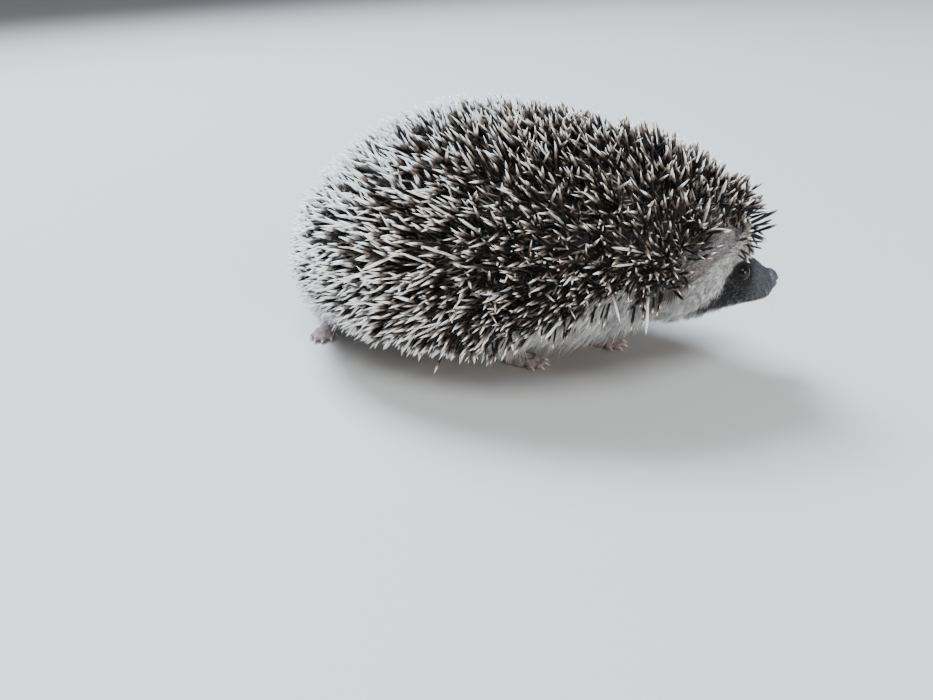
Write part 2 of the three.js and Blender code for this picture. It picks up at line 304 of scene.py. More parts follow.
def ear_frame(side):
    """Axes of an ear: along its length, through it towards its inner face, and out to its free edge."""
    along = AHEAD * 0.69 + UPWARD * 0.724
    inward = unit(AHEAD * 0.504 + LEFTWARD * 0.72 * side - UPWARD * 0.48)
    return np.stack([along, inward, unit(np.cross(inward, along)) * -side])


def make_ear(side):
    """A thin rounded flap, cupped on its inner face, slanting forward and up along the head."""
    thing = ball((0, 0, EAR["out"]), (EAR["long"], EAR["thick"], EAR["wide"]), segments=40, rings=28)
    places = coordinates(thing)
    middle = np.exp(-((places[:, 0] / 5.8) ** 2 + ((places[:, 2] - EAR["out"]) / 4.6) ** 2))
    places[:, 1] -= 1.5 * middle
    root = on_head(EAR["back"], side * EAR["side"], EAR["up"])
    set_coordinates(thing, root + places @ ear_frame(side))
    return thing


# Each kind of foot: its toes' angles and reaches, the palm's half-sizes, a toe's radius, the heel's distance.
FORE = {
    "toes": (-42, -20, 0, 20, 42), "reach": (4.6, 7.4, 8.2, 7.4, 5.0),
    "palm": (4.6, 4.6, 3.2), "toe": 1.4, "heel": 4,
}
HIND = {
    "toes": (-26, -8, 9, 28), "reach": (8.2, 10, 10, 8.4),
    "palm": (7.2, 4.2, 3.1), "toe": 1.45, "heel": 9,
}
# Each foot: its kind, where its palm stands, which way it points, and the leg up into the body.
FEET = {
    "right_fore": {
        "kind": FORE, "stands": (5.8, -13.4), "yaw": 2,
        "leg": [(0.2, -14.6, 5), (-1.8, -17.5, 15), (2.2, -22, 30)], "radii": (3.6, 4.6, 8),
    },
    "left_fore": {
        "kind": FORE, "stands": (31.7, 10), "yaw": -4,
        "leg": [(26.2, 10.6, 5), (24.2, 13.5, 15), (25.2, 20, 31)], "radii": (3.6, 4.6, 8),
    },
    "right_hind": {
        "kind": HIND, "stands": (-82.8, -8), "yaw": -82,
        "leg": [(-81.8, -1.5, 5), (-76.8, -6, 14), (-65.8, -18, 27)], "radii": (3.5, 5, 8.5),
    },
    "left_hind": {
        "kind": HIND, "stands": (-39.8, 24), "yaw": 14,
        "leg": [(-47.8, 22.2, 5), (-52.8, 22, 15), (-51.8, 23, 28)], "radii": (3.5, 5.2, 9),
    },
}


def toe_point(foot, k, distance, height):
    """A point along one toe, in the body's frame."""
    kind, stands = foot["kind"], foot["stands"]
    angle = math.radians(kind["toes"][k])
    forward = kind["palm"][0] * 0.35 + math.cos(angle) * distance
    across = math.sin(angle) * (distance + kind["palm"][1] * 0.35)
    yaw = math.radians(foot["yaw"])
    x = stands[0] + forward * math.cos(yaw) - across * math.sin(yaw)
    y = stands[1] + forward * math.sin(yaw) + across * math.cos(yaw)
    return (x, y, height)


def make_foot(foot):
    """Palm, heel, toes with knuckles and pads, and the leg, ready to be joined to the skin."""
    kind, stands, yaw = foot["kind"], foot["stands"], math.radians(foot["yaw"])
    turn = (0, 0, yaw)
    long, wide, high = kind["palm"]
    parts = [ball((*stands, high * 0.56), (long * 0.96, wide * 0.94, high * 0.9), turn)]
    heel_x, heel_y = stands[0] - kind["heel"] * math.cos(yaw), stands[1] - kind["heel"] * math.sin(yaw)
    parts.append(ball((heel_x, heel_y, high * 0.6), (long * 0.7, wide * 0.76, high * 0.9), turn))
    size = kind["toe"]
    for k, far in enumerate(kind["reach"]):
        joints = ((0.0, 2.3), (0.5, 2.5), (0.86, 1.45))
        base, knuckle, pad = (toe_point(foot, k, far * share, height) for share, height in joints)
        parts += limb((base, knuckle, pad), (size, size * 0.92, size * 0.82))
        parts.append(ball(knuckle, (size * 1.12,) * 3, segments=16, rings=12))
        parts.append(ball(pad, (size * 1.04, size * 1.04, size * 0.96), segments=16, rings=12))
    return parts + limb(foot["leg"], foot["radii"])


def eye_place(side):
    return on_head(EYE["back"], side * EYE["side"], EYE["up"])


def eye_axis(side):
    """Which way an eye looks: outward, a little forward and up."""
    return unit(LEFTWARD * side + AHEAD * 0.34 + UPWARD * 0.22)


def sculpt_face(thing):
    """Lids and sockets, the line of the mouth, the chin, and the flat soles."""
    places, facing = coordinates(thing), normals(thing)
    back, side, up = head_coordinates(places)
    near = back < 40
    for which in (-1, 1):
        centre, axis = eye_place(which), eye_axis(which)
        away = places - centre
        along = away @ axis
        flat = away - np.outer(along, axis)
        tall = flat @ UPWARD
        long = flat @ unit(np.cross(UPWARD, axis))
        off = np.sqrt((long / 1.06) ** 2 + tall ** 2)
        here = near & (along > -2.5) & (off < 6.5)
        opening = EYE["opening"]
        bead = np.sqrt(EYE["radius"] ** 2 - np.minimum(off, opening + 0.3) ** 2)
        lid = bead + 0.42 * ramp(opening, opening + 0.8, off) - 1.1 * np.maximum(opening - off, 0)
        rim = ramp(opening + 2.6, opening + 0.5, off)
        wanted = along * (1 - rim) + lid * rim
        places[here] += np.outer((wanted - along)[here], axis)
    lip = -3.3 - 0.06 * back
    groove = np.exp(-((up - lip) / 0.45) ** 2) * ramp(16.5, 13, back) * ramp(0.6, 1.8, back)
    places -= facing * (0.6 * groove * near)[:, None]
    jaw = ramp(lip - 0.2, lip - 1.2, up) * ramp(17, 12, back) * near
    places -= LEFTWARD * (side * 0.14 * jaw)[:, None]
    low = 0.12
    places[:, 2] = np.where(places[:, 2] < low, low * np.clip(places[:, 2] / low, 0, 1), places[:, 2])
    set_coordinates(thing, places)


def make_skin():
    parts = [make_trunk(), make_head(), make_ear(-1), make_ear(1)]
    turn = (0, 0, HEAD_TURN)
    parts.append(ball(on_head(BROW["back"], 0, BROW["up"]), BROW["reach"], turn))
    parts.append(ball(on_head(HOOD["back"], 0, HOOD["up"]), HOOD["reach"], turn))
    parts.append(ball(on_head(37, 0, 4), (15, 15.5, 11.5), turn))
    for foot in FEET.values():
        parts += make_foot(foot)
    parts += limb([(-76, 0, 19), (-84, 0.6, 15.5), (-91.2, 1.4, 11.6)], (3.2, 2.3, 1.1))
    skin = joined("skin", parts)
    finish_with(skin, "REMESH", mode="VOXEL", voxel_size=SKIN_CELL * MM, adaptivity=0)
    finish_with(skin, "SMOOTH", factor=0.6, iterations=5)
    sculpt_face(skin)
    finish_with(skin, "DECIMATE", ratio=SKIN_KEPT)
    smooth(skin)
    return skin


# ---- Markings, with painted shade and sheen: the same colours for the skin and for the hair that grows from it ----
WHITE = (0.83, 0.81, 0.785)
DARK = (0.02, 0.019, 0.023)
# The muzzle's grey hair, lightened by a painted sheen.
SLATE_AND_SHEEN = (0.092, 0.101, 0.113)
# Dusky hair, also laid on as painted shade beneath the ears and the crown's quills.
DUSK_AND_SHADE = (0.145, 0.122, 0.12)
THROAT = (0.40, 0.365, 0.335)
EAR_SKIN = (0.185, 0.152, 0.153)
FOOT_SKIN = (0.27, 0.212, 0.206)
NOSE_SKIN = (0.045, 0.05, 0.058)
LIP = (0.55, 0.42, 0.40)
# Painted shade: the skin under the quills is made near black, as the coat shades it.
SHADE_UNDER_QUILLS = (0.022, 0.017, 0.016)
# The lower edge of the white blaze: distance behind the nose tip, and height above it.
BLAZE_EDGE = [
    (8, 12.4), (15, 11.9), (19.4, 11.7), (22.5, 9.6), (24, 6.4), (27, 3.2), (31.3, 1.2),
    (35, -2), (40, -6), (46, -9),
]
# Its upper edge, above which the head is darker beneath the ears and the quills: partly dusky hair, partly
# painted shade from them.
BLAZE_TOP = [
    (12, 36), (17, 28), (21, 22.5), (24, 17.6), (27, 14.4), (30, 12), (35, 9.4), (41, 7), (48, 4.5), (56, 1),
]
# The lower edge of the quilled coat: how it climbs along a line turned a little from the body's.
EDGE_TURN = math.radians(12)


def coat_edge(places):
    """Height of the quilled coat's lower edge beside each place."""
    along = (places[:, 0] + 1.8) * math.cos(EDGE_TURN) + places[:, 1] * math.sin(EDGE_TURN)
    return 19 + 0.42 * np.maximum(0, along + 12) + 0.09 * np.maximum(0, -40 - along)


def wave(places, scale, phase):
    """A gentle repeatable unevenness between -1 and 1."""
    x, y, z = (places / scale).T
    first, second = np.sin(x + 1.7 * y + phase), np.sin(1.3 * y - 1.9 * z + 2 * phase)
    return (first + second + np.sin(2.1 * z + 0.8 * x)) / 3


def mix(first, second, share):
    return first * (1 - share[:, None]) + np.asarray(second) * share[:, None]


def ear_share(places):
    """1 on the ears, 0 elsewhere."""
    share = np.zeros(len(places))
    for side in (-1, 1):
        away = (places - on_head(EAR["back"], side * EAR["side"], EAR["up"])) @ ear_frame(side).T
        far = (away[:, 0] / EAR["long"]) ** 2 + ((away[:, 2] - EAR["out"]) / EAR["wide"]) ** 2
        far = np.sqrt(far + (away[:, 1] / 3.4) ** 2)
        share = np.maximum(share, ramp(1.22, 1.02, far) * ramp(1.0, 2.6, away[:, 2]))
    return share


def marking_shade_and_sheen(places):
    """Colour of the coat at each place, with painted shade beneath the ears and quills and a painted sheen
    towards the nose.
    """
    back, side, up = head_coordinates(places)
    uneven = wave(places, 1.9, 0.4)
    colour = np.tile(WHITE, (len(places), 1)).astype(float)
    # Above the blaze's upper edge: painted shade beneath the ears and quills over partly dusky hair; on the
    # cheek, mottled hair.
    dusk_band_and_shade = ramp(-1.2, 1.4, up + uneven - np.interp(back, *zip(*BLAZE_TOP))) * ramp(56, 46, back)
    mottled = ramp(0.1, 0.8, wave(places, 1.3, 2.0)) * ramp(32, 42, back)
    mottled = mottled * ramp(66, 52, back) * ramp(-7, 0, up)
    colour = mix(colour, DUSK_AND_SHADE, np.maximum(dusk_band_and_shade * 0.92, mottled * 0.5))
    throat = ramp(-3.5, -6.0, up) * ramp(13, 20, back) * ramp(90, 60, back)
    colour = mix(colour, THROAT, throat * 0.8)
    edge = np.interp(back, *zip(*BLAZE_EDGE)) + 0.9 * uneven
    jaw = np.interp(back, (8, 13, 20, 31), (-6.4, -4.4, -3.2, -1.6)) + 0.7 * uneven
    dark = ramp(edge + 1.3, edge - 1.3, up) * ramp(jaw - 1.5, jaw + 0.8, up) * ramp(41, 30, back + 2 * uneven)
    muzzle = ramp(13, 10.5, back) * ramp(13.2, 11.6, up)
    # Towards the nose the dark mask turns slate grey: partly the muzzle's own grey hair, partly a painted
    # sheen.
    slate_and_sheen = ramp(16, 7, back)[:, None]
    colour = mix(colour, np.asarray(DARK) * (1 - slate_and_sheen) + np.asarray(SLATE_AND_SHEEN) * slate_and_sheen, np.maximum(dark, muzzle))
    for which in (-1, 1):
        off = np.linalg.norm(places - eye_place(which), axis=1)
        colour = mix(colour, (0.008, 0.006, 0.006), ramp(6.4, 4.4, off))
    lip = ramp(-4.2 - 0.05 * back, -4.9 - 0.05 * back, up) * ramp(15, 9, back)
    return mix(colour, LIP, lip * 0.7)


# ---- Strands: quills, hairs, whiskers and claws are all tapered rods grown from the skin ----
class Ground:
    """The skin as triangles to grow things from."""

    def __init__(self, thing):
        thing.data.calc_loop_triangles()
        count = len(thing.data.loop_triangles)
        corner = np.empty(count * 3, np.int32)
        thing.data.loop_triangles.foreach_get("vertices", corner)
        self.corners = corner.reshape(-1, 3)
        self.places, self.facing = coordinates(thing), normals(thing)
        a, b, c = (self.places[self.corners[:, k]] for k in range(3))
        self.areas = np.linalg.norm(np.cross(b - a, c - a), axis=1) / 2
        self.middles = (a + b + c) / 3
        self.outward = unit(sum(self.facing[self.corners[:, k]] for k in range(3)))

    def scatter(self, density, spacing, rng):
        """Places about density to the square millimetre, no two nearer than their spacing."""
        expected = np.cumsum(self.areas * density)
        chosen = np.searchsorted(expected, rng.random(int(expected[-1])) * expected[-1])
        u, v = rng.random((2, len(chosen)))
        flip = u + v > 1
        u, v = np.where(flip, 1 - u, u), np.where(flip, 1 - v, v)
        weights = np.stack([1 - u - v, u, v], 1)[..., None]
        places = (self.places[self.corners[chosen]] * weights).sum(1)
        facing = unit((self.facing[self.corners[chosen]] * weights).sum(1))
        if spacing is None:
            return places, facing
        kept, cells = [], {}
        size = spacing(places)
        cell = float(size.max())
        for i, (key, place) in enumerate(zip(map(tuple, (places // cell).astype(int)), places)):
            near = (
                j
                for dx in (-1, 0, 1) for dy in (-1, 0, 1) for dz in (-1, 0, 1)
                for j in cells.get((key[0] + dx, key[1] + dy, key[2] + dz), ())
            )
            if all(((places[j] - place) ** 2).sum() > size[i] ** 2 for j in near):
                cells.setdefault(key, []).append(i)
                kept.append(i)
        return places[kept], facing[kept]


def unwrap(places):
    """The body's surface rolled out flat: round it across, and along it from the rump to the nose."""
    middle = np.interp(places[:, 0], (40, 92), (0, 13))
    height = np.interp(places[:, 0], (-90, -40, 40, 92), (26, 38, 42, 35))
    round_it = np.arctan2(places[:, 1] - middle, places[:, 2] - height) / (2 * math.pi) + 0.5
    return np.stack([round_it, (places[:, 0] + 95) / 190], 1)


PATCH = 0.003  # size of one tuft's patch on the map
MAP_MARGIN, MAP_WIDTH = 0.005, 0.985  # where the patches start, and how far they reach


def keep_on_vertices(mesh, name, kind, values):
    """Stores a number or a colour for each vertex, which the materials read."""
    key = "color" if kind == "FLOAT_COLOR" else "value"
    mesh.attributes.new(name, kind, "POINT").data.foreach_set(key, values.astype(np.float32).ravel())


def strands(name, roots, directions, lengths, radii, bends, profile, sides, tints, hairs=1, tufts=None):
    """One mesh of tapered rods.

    The profile lists (share of the length, share of the radius), and ends before the tip. Where rods come in
    tufts, hairs says how many are in one, and tufts gives each rod its tuft's place.
    """
    count, rings = len(roots), len(profile)
    helper = np.where(np.abs(directions[:, 2:]) > 0.9, (1.0, 0.0, 0.0), (0.0, 0.0, 1.0))
    across = unit(np.cross(directions, helper))
    over = np.cross(directions, across)
    shares = np.array([share for share, _ in profile])
    sizes = np.array([size for _, size in profile])
    angles = np.arange(sides) * 2 * math.pi / sides
    circle = across[:, None] * np.cos(angles)[None, :, None] + over[:, None] * np.sin(angles)[None, :, None]
    centres = (
        roots[:, None]
        + directions[:, None] * (lengths[:, None] * shares)[..., None]
        + bends[:, None] * (shares**2)[None, :, None]
    )
    wall = centres[:, :, None] + circle[:, None] * (radii[:, None] * sizes)[:, :, None, None]
    tips = roots + directions * lengths[:, None] + bends
    points = np.concatenate([wall.reshape(count, -1, 3), tips[:, None]], 1)
    tip = rings * sides
    loops, corners, starts = [], [], []
    for ring in range(rings - 1):
        for k in range(sides):
            starts.append(len(loops))
            right, lower, upper = (k + 1) % sides, ring * sides, (ring + 1) * sides
            loops += [lower + k, lower + right, upper + right, upper + k]
            before, after = shares[ring], shares[ring + 1]
            corners += [(k, before), (k + 1, before), (k + 1, after), (k, after)]
    for k in range(sides):
        starts.append(len(loops))
        loops += [tip - sides + k, tip - sides + (k + 1) % sides, tip]
        corners += [(k, shares[-1]), (k + 1, shares[-1]), (k + 0.5, 1.0)]
    starts.append(len(loops))
    loops += list(range(sides))[::-1]
    corners += [(k, 0.0) for k in range(sides)][::-1]
    loops, corners, starts = np.array(loops), np.array(corners), np.array(starts)

    mesh = bpy.data.meshes.new(name)
    each = tip + 1
    mesh.vertices.add(count * each)
    mesh.loops.add(count * len(loops))
    mesh.polygons.add(count * len(starts))
    mesh.vertices.foreach_set("co", (points * MM).astype(np.float32).ravel())
    rod = np.arange(count)[:, None]
    mesh.loops.foreach_set("vertex_index", (rod * each + loops).astype(np.int32).ravel())
    mesh.polygons.foreach_set("loop_start", (rod * len(loops) + starts).astype(np.int32).ravel())
    mesh.update(calc_edges=True)
    mesh.polygons.foreach_set("use_smooth", np.ones(count * len(starts), bool))
    flat = unwrap(roots if tufts is None else tufts)
    low, high = flat.min(0), flat.max(0)
    flat = MAP_MARGIN + (flat - low) / np.maximum(high - low, 1e-6) * MAP_WIDTH
    patch_u = (rod % hairs + corners[None, :, 0] / sides) / hairs
    patch = np.stack([patch_u, np.broadcast_to(corners[None, :, 1], patch_u.shape)], 2) * PATCH
    layer = mesh.uv_layers.new(name="OFBake")
    layer.uv.foreach_set("vector", (flat[:, None] + patch).astype(np.float32).ravel())
    along = np.broadcast_to(np.append(np.repeat(shares, sides), 1.0), (count, each))
    keep_on_vertices(mesh, "along", "FLOAT", along)
    tint = np.concatenate([tints, np.ones((count, 1))], 1)
    keep_on_vertices(mesh, "tint", "FLOAT_COLOR", np.repeat(tint, each, 0))
    thing = bpy.data.objects.new(name, mesh)
    bpy.context.scene.collection.objects.link(thing)
    return thing


def aim(facing, flow, stand, spread, rng):
    """Directions that leave the skin at an angle and lean along the flow, each a little astray."""
    along = unit(flow - facing * (flow * facing).sum(1, keepdims=True))
    straight = along * np.cos(stand)[:, None] + facing * np.sin(stand)[:, None]
    return unit(straight + rng.normal(0, 1, facing.shape) * spread[:, None])


OUTSIDE = 0.06  # metres; farther out than any solid


def solid_tree(names):
    """The chosen solids as one surface to measure against."""
    points, faces = [], []
    for name in names:
        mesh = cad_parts[name].data
        first = len(points)
        points += [v.co.copy() for v in mesh.vertices]
        faces += [[first + i for i in polygon.vertices] for polygon in mesh.polygons]
    return BVHTree.FromPolygons(points, faces)


# ---- The quills ----
QUILL_PROFILE = [(0.0, 0.4), (0.2, 0.72), (0.5, 0.86), (0.73, 1.0), (0.84, 0.74), (0.93, 0.38)]
QUILL_ROOT = 0.6  # how far each quill is set into the skin
# Where the quills begin over the head: distance behind the nose tip, and height above it.
QUILL_LINE = [
    (8, 33), (13, 26.5), (17.5, 23), (22.6, 21), (29, 19.5), (35, 15.5), (39.5, 12.9), (43, 10), (47, 8.4),
    (60, 7),
]
# Quills that have come out of line: root, direction, length, the share of it that is pale, and radius.
STRAYS = [
    ((53.0, -25.5, 45.0), (0.06, -0.36, -0.92), 18.0, 0.95, 0.6),
    ((-15.5, -33.0, 18.0), (-0.25, -0.55, -0.8), 14.0, 0.25, 0.6),
]
# The quill coats, and where along the body each one starts and ends.
QUILL_COATS = {"rump": (-200, -42), "back": (-42, 0), "shoulder": (0, 38), "crown": (38, 200)}


def above_line(places):
    """Height above the line where the quills begin over the head."""
    back, side, up = head_coordinates(places)
    return up - np.interp(back, *zip(*QUILL_LINE))


def quilled(places):
    """Where quills grow: above the coat's edge, and over the crown behind the blaze and the ears."""
    x, z = places[:, 0], places[:, 2]
    start = coat_edge(places) + 1.2 + 2.3 * ramp(40, 56, x)
    back = head_coordinates(places)[0]
    on_crown = (above_line(places) > 0) & (back < 56)
    return ((z > start) & (back > 50) | on_crown) & (x > -88) & (ear_share(places) < 0.05)


def quill_flow(places):
    """Which way the quills lean, and how far they stand off the skin."""
    x, z = places[:, 0], places[:, 2]
    rear, crown = ramp(10, -60, x), ramp(40, 78, x)
    low, top = ramp(60, 24, z), ramp(45, 78, z)
    forward = -1 + 1.85 * crown * (0.45 + 0.55 * top)
    flow = np.stack([forward, np.zeros(len(x)), 0.35 * rear - 0.6 * low + 1.3 * crown * top], 1)
    stray = np.stack([wave(places, 6.0, phase) for phase in (0.3, 2.1, 4.4)], 1)
    stand = np.radians(62 - 20 * rear * (1 - 0.5 * top) - 8 * low - 2 * crown)
    return flow + 0.6 * stray, stand


def brow_fringe(ground):
    """Short dark quills that hang over each side of the brow, before the ear, listed as the strays are."""
    rng = np.random.default_rng(23)
    back, side = head_coordinates(ground.middles)[:2]
    above = above_line(ground.middles)
    strip = (above > -3.3) & (above < 1) & (np.abs(side) > 4.6) & (back > 14.5) & (back < 24.5)
    strip &= ~quilled(ground.middles) & (ear_share(ground.middles) < 0.05)
    density = np.where(strip, 1.6 * ramp(-4.6, -1.2, above), 0.0)
    places, facing = ground.scatter(density, lambda at: np.full(len(at), 1.35), rng)
    count = len(places)
    side = head_coordinates(places)[1]
    droop = 0.75 * ramp(0.2, -2.4, above_line(places)) - 0.1
    flow = AHEAD + 0.5 * np.sign(side)[:, None] * LEFTWARD - droop[:, None] * UPWARD
    ways = aim(facing, flow, rng.uniform(0.45, 0.9, count), np.full(count, 0.22), rng)
    lengths = rng.uniform(6.5, 9.5, count)
    pale = rng.uniform(0.2, 0.34, count)
    radii = rng.uniform(0.36, 0.46, count)
    return list(zip(places, ways, lengths, pale, radii))


def quill_spacing(places):
    """The least distance between quills, which is less towards the rump and at the coat's front edge."""
    near_edge = ramp(14, 4, places[:, 2] - coat_edge(places)) * ramp(-10, 30, places[:, 0])
    front, rear = QUILL_SPACING
    return front + (rear - front) * ramp(30, -50, places[:, 0]) - 0.35 * near_edge


def quill_reach(places, directions):
    """How long each quill is: out to the solids' surface, but shorter at the brow and the coat's edge."""
    outline = solid_tree(QUILLED)
    reach = np.empty(len(places))
    for i, (place, direction) in enumerate(zip(places, directions)):
        start = Vector(place) * MM + Vector(direction) * OUTSIDE
        hit = outline.ray_cast(start, -Vector(direction))[0]
        reach[i] = QUILL_LENGTH[1] if hit is None else np.linalg.norm(np.array(hit) / MM - place)
    reach = np.clip(reach + 1.5 + 2.5 * ramp(25, 55, places[:, 0]), *QUILL_LENGTH)
    longest = np.interp(head_coordinates(places)[0], (12, 16, 20, 28, 40), (7, 9, 13, 18, 20.5))
    over_edge = np.maximum(0, places[:, 2] - coat_edge(places) - 4)
    longest = np.minimum(longest, 12.5 + 0.8 * over_edge + 9 * ramp(10, -25, places[:, 0]))
    return np.minimum(reach, longest)


def grow_quills(ground):
    """The four quill coats: tan shoulders and cream tips, longer, paler and flatter towards the rump."""
    rng = np.random.default_rng(11)
    density = np.where(quilled(ground.middles), 2.2, 0.0)
    places, facing = ground.scatter(density, quill_spacing, rng)
    flow, stand = quill_flow(places)
    count = len(places)
    # Over the shoulders the quills point out from the body's middle, not square to the hollow of the neck.
    middle = np.stack([np.minimum(places[:, 0], 42), np.zeros(count), np.full(count, 36.0)], 1)
    outward = ramp(10, 40, places[:, 0])[:, None]
    facing = unit(facing * (1 - 0.75 * outward) + unit(places - middle) * 0.75 * outward)
    spread = 0.33 + 0.08 * ramp(-30, 20, places[:, 0])
    directions = aim(facing, flow, stand + rng.normal(0, 0.16, count), spread, rng)
    lengths = quill_reach(places, directions) * rng.uniform(0.86, 1.06, count)
    rear = ramp(35, -70, places[:, 0])
    young = rng.random(count) < 0.14
    lengths[young] *= rng.uniform(0.62, 0.85, young.sum())
    radii = QUILL_RADIUS * rng.uniform(0.68, 1.2, count) * ramp(4, 15, lengths) ** 0.4 * (0.88 + 0.14 * rear)
    bends = unit(rng.normal(0, 1, (count, 3))) * rng.uniform(0, 1.1, count)[:, None]
    tip_share = 0.16 + 0.18 * rear + rng.normal(0, 0.04, count)
    white = rng.random(count) < 0.03 + 0.07 * rear
    tip_share[white] = 0.95
    warmth = np.clip(rng.normal(0.62 - 0.45 * rear - 0.25 * ramp(60, 85, places[:, 2]), 0.2, count), 0, 1)
    tints = np.stack([tip_share, warmth, rng.random(count)], 1)
    clear = np.ones(count, bool)
    for share in (0.35, 0.6, 0.8, 1.0):
        clear &= ear_share(places + directions * (lengths * share)[:, None]) < 0.2
    places, directions, lengths, radii, bends, tints = (
        values[clear] for values in (places, directions, lengths, radii, bends, tints)
    )
    for root, way, length, share, radius in STRAYS + brow_fringe(ground):
        places = np.vstack([places, root])
        directions = np.vstack([directions, unit(np.array(way))])
        bends = np.vstack([bends, np.zeros(3)])
        lengths, radii = np.append(lengths, length), np.append(radii, radius)
        tints = np.vstack([tints, (share, 0.3, 0.5)])
    roots, lengths = places - directions * QUILL_ROOT, lengths + QUILL_ROOT
    grown = []
    for name, (low, high) in QUILL_COATS.items():
        own = (places[:, 0] >= low) & (places[:, 0] < high)
        grown.append(strands(
            f"{name}_quill_coat", roots[own], directions[own], lengths[own], radii[own], bends[own],
            QUILL_PROFILE, 5, tints[own],
        ))
    return grown


# ---- The fur ----
HAIR_PROFILE = [(0.0, 1.0), (0.5, 0.8)]
HAIR_ROOT = 0.1  # how far each hair is set into the skin
HAIRS = 3  # in one tuft
FLECK = (0.46, 0.45, 0.42)
EAR_HAIR = (0.42, 0.39, 0.39)
WHISKER = (0.42, 0.4, 0.38)


def foot_share(places):
    """1 on the bare feet and tail, 0 elsewhere."""
    share = ramp(-80, -85, places[:, 0]) * ramp(7, 4, np.abs(places[:, 1] - 1)) * ramp(22, 19, places[:, 2])
    for foot in FEET.values():
        away = np.hypot(*(places[:, :2] - foot["stands"]).T)
        share = np.maximum(share, ramp(17, 14, away) * ramp(7.5, 4.5, places[:, 2]))
    return share


def fur_length(places):
    """How long the hair is at each place, in millimetres; nothing where none grows."""
    back = head_coordinates(places)[0]
    on_face = np.interp(back, (3.5, 8, 14, 22, 30, 40, 52), (0.9, 1.4, 2.1, 3.2, 4.6, 6.2, 7.5))
    low = ramp(34, 22, places[:, 2])
    length = np.where(back < 52, on_face, 7.5 + 4.0 * low)
    length *= 1 - 0.52 * ear_share(places)
    length = np.where(places[:, 2] < 13, np.minimum(length, 2.2 + 0.35 * places[:, 2]), length)
    for which in (-1, 1):
        off = np.linalg.norm(places - eye_place(which), axis=1)
        length *= 0.2 + 0.8 * ramp(4.2, 7.0, off)
        length[off < 3.75] = 0
    length[back < 2.2] = 0
    return length * (1 - 0.75 * foot_share(places))


def lock_of(places, rng):
    """Which lock each tuft belongs to: the nearest of the few that lead."""
    leaders = rng.choice(len(places), len(places) // 9, replace=False)
    tree = KDTree(len(leaders))
    for k, leader in enumerate(leaders):
        tree.insert(places[leader], k)
    tree.balance()
    return leaders[[tree.find(place)[1] for place in places]]


def fur_density(places):
    """Tufts to the square millimetre: most on the face, fewer on ears and feet, none under the quills."""
    back = head_coordinates(places)[0]
    density = np.interp(back, (4, 12, 30, 44, 56), (4.6, 4.4, 3.3, 1.7, 1.05))
    density *= (1 - 0.3 * ear_share(places)) * (1 - 0.6 * foot_share(places))
    # The fur also fills the quilled coat's lowest few millimetres.
    open_skin = ~quilled(places - UPWARD * 3.0 + AHEAD * (2.0 * ramp(60, 30, back))[:, None])
    return np.where(open_skin & (fur_length(places) > 0.3) & (places[:, 2] > 0.8), density, 0.0)


def fur_flow(places):
    """Which way the fur lies, and how far it stands off the skin."""
    back, side, up = head_coordinates(places)
    face = ramp(52, 40, back)[:, None]
    outward = np.sign(side)[:, None] * LEFTWARD
    drop = (0.65 * ramp(14, 30, back) * ramp(20, 8, up))[:, None]
    over = -AHEAD + outward * ramp(8, 26, back)[:, None] * 0.5 - UPWARD * drop
    level = np.ones(len(places))
    under = np.stack([-0.75 * level, 0.2 * np.sign(places[:, 1]), -level], 1)
    return over * face + under * (1 - face), np.radians(16 + 16 * ramp(12, 40, back))


def per_hair(values):
    """Each tuft's value given to each of its hairs."""
    return np.repeat(values, HAIRS, 0)


